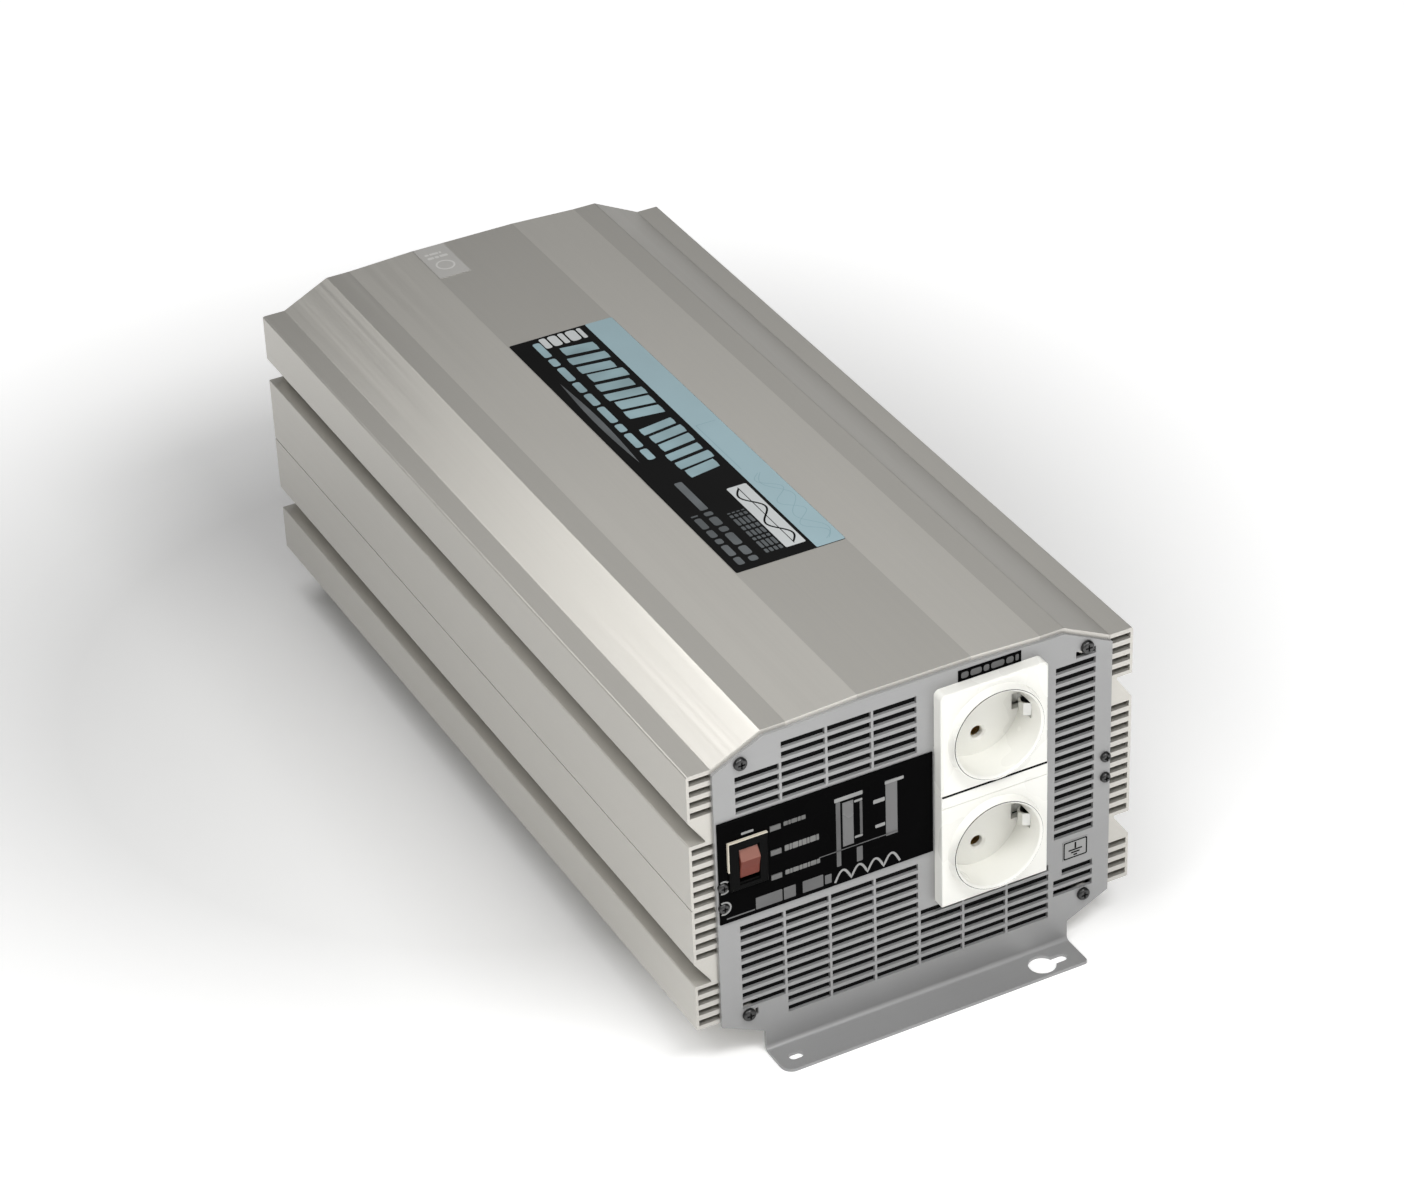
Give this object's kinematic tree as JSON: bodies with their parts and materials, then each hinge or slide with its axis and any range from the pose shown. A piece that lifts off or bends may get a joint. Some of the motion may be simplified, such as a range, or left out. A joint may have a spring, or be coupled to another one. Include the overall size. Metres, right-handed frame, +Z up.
{
  "type": "power inverter",
  "caption": "Box-shaped DC to AC power inverter in an extruded aluminium case, with two earthed outlets, a rocker switch, meters, mounting flanges and rear fans.",
  "frame": {"origin": "centre of the footprint (bounding box), at the height of the surface that the mounting flanges rest on", "axes": "+Z up, +Y from the front plate with the outlets towards the rear plate with the terminals, +X to the right seen from the front"},
  "size_m": [0.205, 0.471, 0.1609],
  "materials": {
    "satin_aluminium": "fine satin anodised extrusion",
    "plate_aluminium": "satin grey coated sheet",
    "zinc_steel": "zinc plated",
    "black_steel": "blackened screws",
    "bright_wire": "bright plated wire",
    "fascia_black": "glossy black film",
    "black_plastic": "fine moulded texture",
    "rocker_red": "translucent red moulding",
    "light_lens": "diffusing lens",
    "meter_lens": "smoked lens",
    "led_grey": "moulded",
    "outlet_white": "glossy moulding",
    "base_white": "moulded",
    "brass": "turned",
    "copper": "tin-free copper strip",
    "label_film": "printed film, black and pale blue",
    "seal_film": "frosted clear film",
    "symbol_film": "printed film",
    "red_plastic": "moulded",
    "board_green": "solder mask",
    "ferrite": "sintered, ground",
    "tape_yellow": "polyester tape",
    "can_sleeve": "shrink sleeve",
    "epoxy_black": "moulded epoxy",
    "pad_grey": "silicone pad",
    "fuse_amber": "clear amber",
    "fibre_sheet": "pressed fibre",
    "wire_blue": "PVC insulation"
  },
  "bodies": {
    "case": {"case_extrusion_upper": "satin_aluminium", "case_extrusion_lower": "satin_aluminium", "front_plate": "plate_aluminium", "rear_plate": "plate_aluminium", "front_plate_screws": "black_steel", "rear_plate_screws": "black_steel", "control_fascia": "fascia_black", "status_light_pipes": "light_lens", "load_meter_window": "meter_lens", "battery_meter_window": "meter_lens", "display_board": "board_green", "display_board_spacers": "zinc_steel", "meter_led_arrays": "led_grey", "rocker_housing": "black_plastic", "rocker_terminals": "brass", "outlet_upper_housing": "outlet_white", "outlet_lower_housing": "outlet_white", "outlet_upper_base": "base_white", "outlet_lower_base": "base_white", "outlet_earth_straps": "zinc_steel", "outlet_line_contacts": "brass", "top_label": "label_film", "seal_sticker": "seal_film", "outlet_label": "fascia_black", "earth_symbol_plate": "symbol_film", "fan_left_frame": "black_plastic", "fan_left_guard": "bright_wire", "fan_right_frame": "black_plastic", "fan_right_guard": "bright_wire", "fan_screws": "zinc_steel", "fan_nuts": "zinc_steel", "positive_terminal_bush": "red_plastic", "negative_terminal_bush": "black_plastic", "terminal_studs": "brass", "terminal_washers": "zinc_steel", "terminal_nuts": "brass", "chassis_earth_stud": "brass", "remote_port": "black_plastic", "bus_bars": "copper", "main_board": "board_green", "board_standoffs": "zinc_steel", "board_screws": "zinc_steel", "insulation_sheet": "fibre_sheet", "transformer_cores": "ferrite", "transformer_windings": "tape_yellow", "bulk_capacitors": "can_sleeve", "input_capacitors": "can_sleeve", "power_transistors": "epoxy_black", "thermal_strips": "pad_grey", "transistor_clamps": "zinc_steel", "control_board": "board_green", "control_chips": "epoxy_black", "output_choke": "copper", "dc_fuses": "fuse_amber", "ac_terminal_block": "base_white", "ac_output_wires": "wire_blue"},
    "power_rocker": {"power_rocker": "rocker_red"},
    "fan_left": {"fan_left_rotor": "black_plastic"},
    "fan_right": {"fan_right_rotor": "black_plastic"}
  },
  "joints": [
    {"name": "power_rocker_pivot", "type": "hinge", "parent": "case", "child": "power_rocker", "pos_m": [-0.078, -0.2165, 0.1002], "axis": [-1, 0, 0], "range_deg": [0, 22]},
    {"name": "fan_left_spin", "type": "hinge", "parent": "case", "child": "fan_left", "pos_m": [-0.0385, 0.1925, 0.107], "axis": [0, 1, 0], "continuous": true},
    {"name": "fan_right_spin", "type": "hinge", "parent": "case", "child": "fan_right", "pos_m": [0.0385, 0.1925, 0.107], "axis": [0, 1, 0], "continuous": true}
  ]
}
